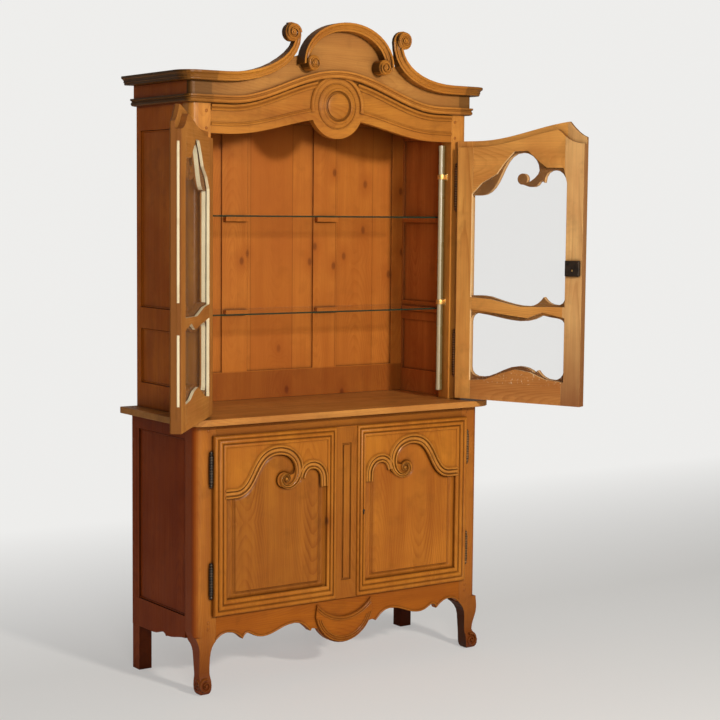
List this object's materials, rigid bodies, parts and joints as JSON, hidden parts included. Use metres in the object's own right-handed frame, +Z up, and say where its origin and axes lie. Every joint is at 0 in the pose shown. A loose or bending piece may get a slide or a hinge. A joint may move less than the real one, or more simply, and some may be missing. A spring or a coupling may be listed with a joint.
{
  "type": "two-part buffet",
  "caption": "Country buffet in waxed pine: a glazed display cabinet with open carved doors and a scrolled pediment stands on a base cupboard with panelled doors and cabriole feet.",
  "frame": {"origin": "bottom centre of the whole box at rest, with the cabinet doors standing open", "axes": "+Z up, -Y to the front where the doors are, +X to the right seen from the front"},
  "size_m": [1.6834, 0.9352, 2.38],
  "materials": {
    "pine": "waxed honey pine",
    "pine_shaded": "waxed pine, darker on sides and back",
    "pine_pale": "paler worn pine",
    "iron": "aged dark iron",
    "glass": "clear",
    "tube": "white opal tube"
  },
  "bodies": {
    "carcass": {"base_top": "pine", "base_post_left": "pine", "base_post_right": "pine", "base_side_left": "pine_shaded", "base_side_right": "pine_shaded", "base_apron": "pine", "base_top_rail": "pine", "base_back": "pine_shaded", "base_floor": "pine_pale", "cabinet_post_left": "pine", "cabinet_post_right": "pine", "cabinet_side_left": "pine_shaded", "cabinet_side_right": "pine_shaded", "cabinet_back": "pine", "cabinet_roof": "pine_shaded", "front_rail": "pine", "crown_moulding": "pine", "pediment": "pine", "cornice_left": "pine", "cornice_right": "pine", "crest_arch": "pine", "shelf_low": "glass", "shelf_high": "glass", "light_tube": "tube", "hinge_left_1_post_half": "iron", "hinge_left_2_post_half": "iron", "hinge_right_1_post_half": "iron", "hinge_right_2_post_half": "iron", "low_hinge_left_1_post_half": "iron", "low_hinge_left_2_post_half": "iron", "low_hinge_right_1_post_half": "iron", "low_hinge_right_2_post_half": "iron"},
    "left_glazed_door": {"door_left_hinge_stile": "pine_pale", "door_left_meeting_stile": "pine_pale", "door_left_top_rail": "pine_pale", "door_left_mid_rail": "pine_pale", "door_left_bottom_rail": "pine_pale", "door_left_pane_upper": "glass", "door_left_pane_lower": "glass", "hinge_left_1_door_half": "iron", "hinge_left_2_door_half": "iron"},
    "right_glazed_door": {"door_right_hinge_stile": "pine_pale", "door_right_meeting_stile": "pine_pale", "door_right_top_rail": "pine_pale", "door_right_mid_rail": "pine_pale", "door_right_bottom_rail": "pine_pale", "door_right_pane_upper": "glass", "door_right_pane_lower": "glass", "hinge_right_1_door_half": "iron", "hinge_right_2_door_half": "iron", "rim_lock": "iron"},
    "left_base_door": {"low_door_left_frame": "pine", "low_door_left_panel": "pine", "low_hinge_left_1_door_half": "iron", "low_hinge_left_2_door_half": "iron", "low_door_left_false_stile": "pine"},
    "right_base_door": {"low_door_right_frame": "pine", "low_door_right_panel": "pine", "low_hinge_right_1_door_half": "iron", "low_hinge_right_2_door_half": "iron"}
  },
  "joints": [
    {"name": "left_glazed_door_swing", "type": "hinge", "parent": "carcass", "child": "left_glazed_door", "pos_m": [-0.47509, 0.05331, 1], "axis": [0, 0, 1], "range_deg": [-19, 131]},
    {"name": "right_glazed_door_swing", "type": "hinge", "parent": "carcass", "child": "right_glazed_door", "pos_m": [0.62891, 0.05331, 1], "axis": [0, 0, 1], "range_deg": [-112, 38]},
    {"name": "left_base_door_swing", "type": "hinge", "parent": "carcass", "child": "left_base_door", "pos_m": [-0.49309, -0.01369, 1], "axis": [0, 0, 1], "range_deg": [-150, 0]},
    {"name": "right_base_door_swing", "type": "hinge", "parent": "carcass", "child": "right_base_door", "pos_m": [0.64691, -0.01369, 1], "axis": [0, 0, 1], "range_deg": [0, 150]}
  ]
}
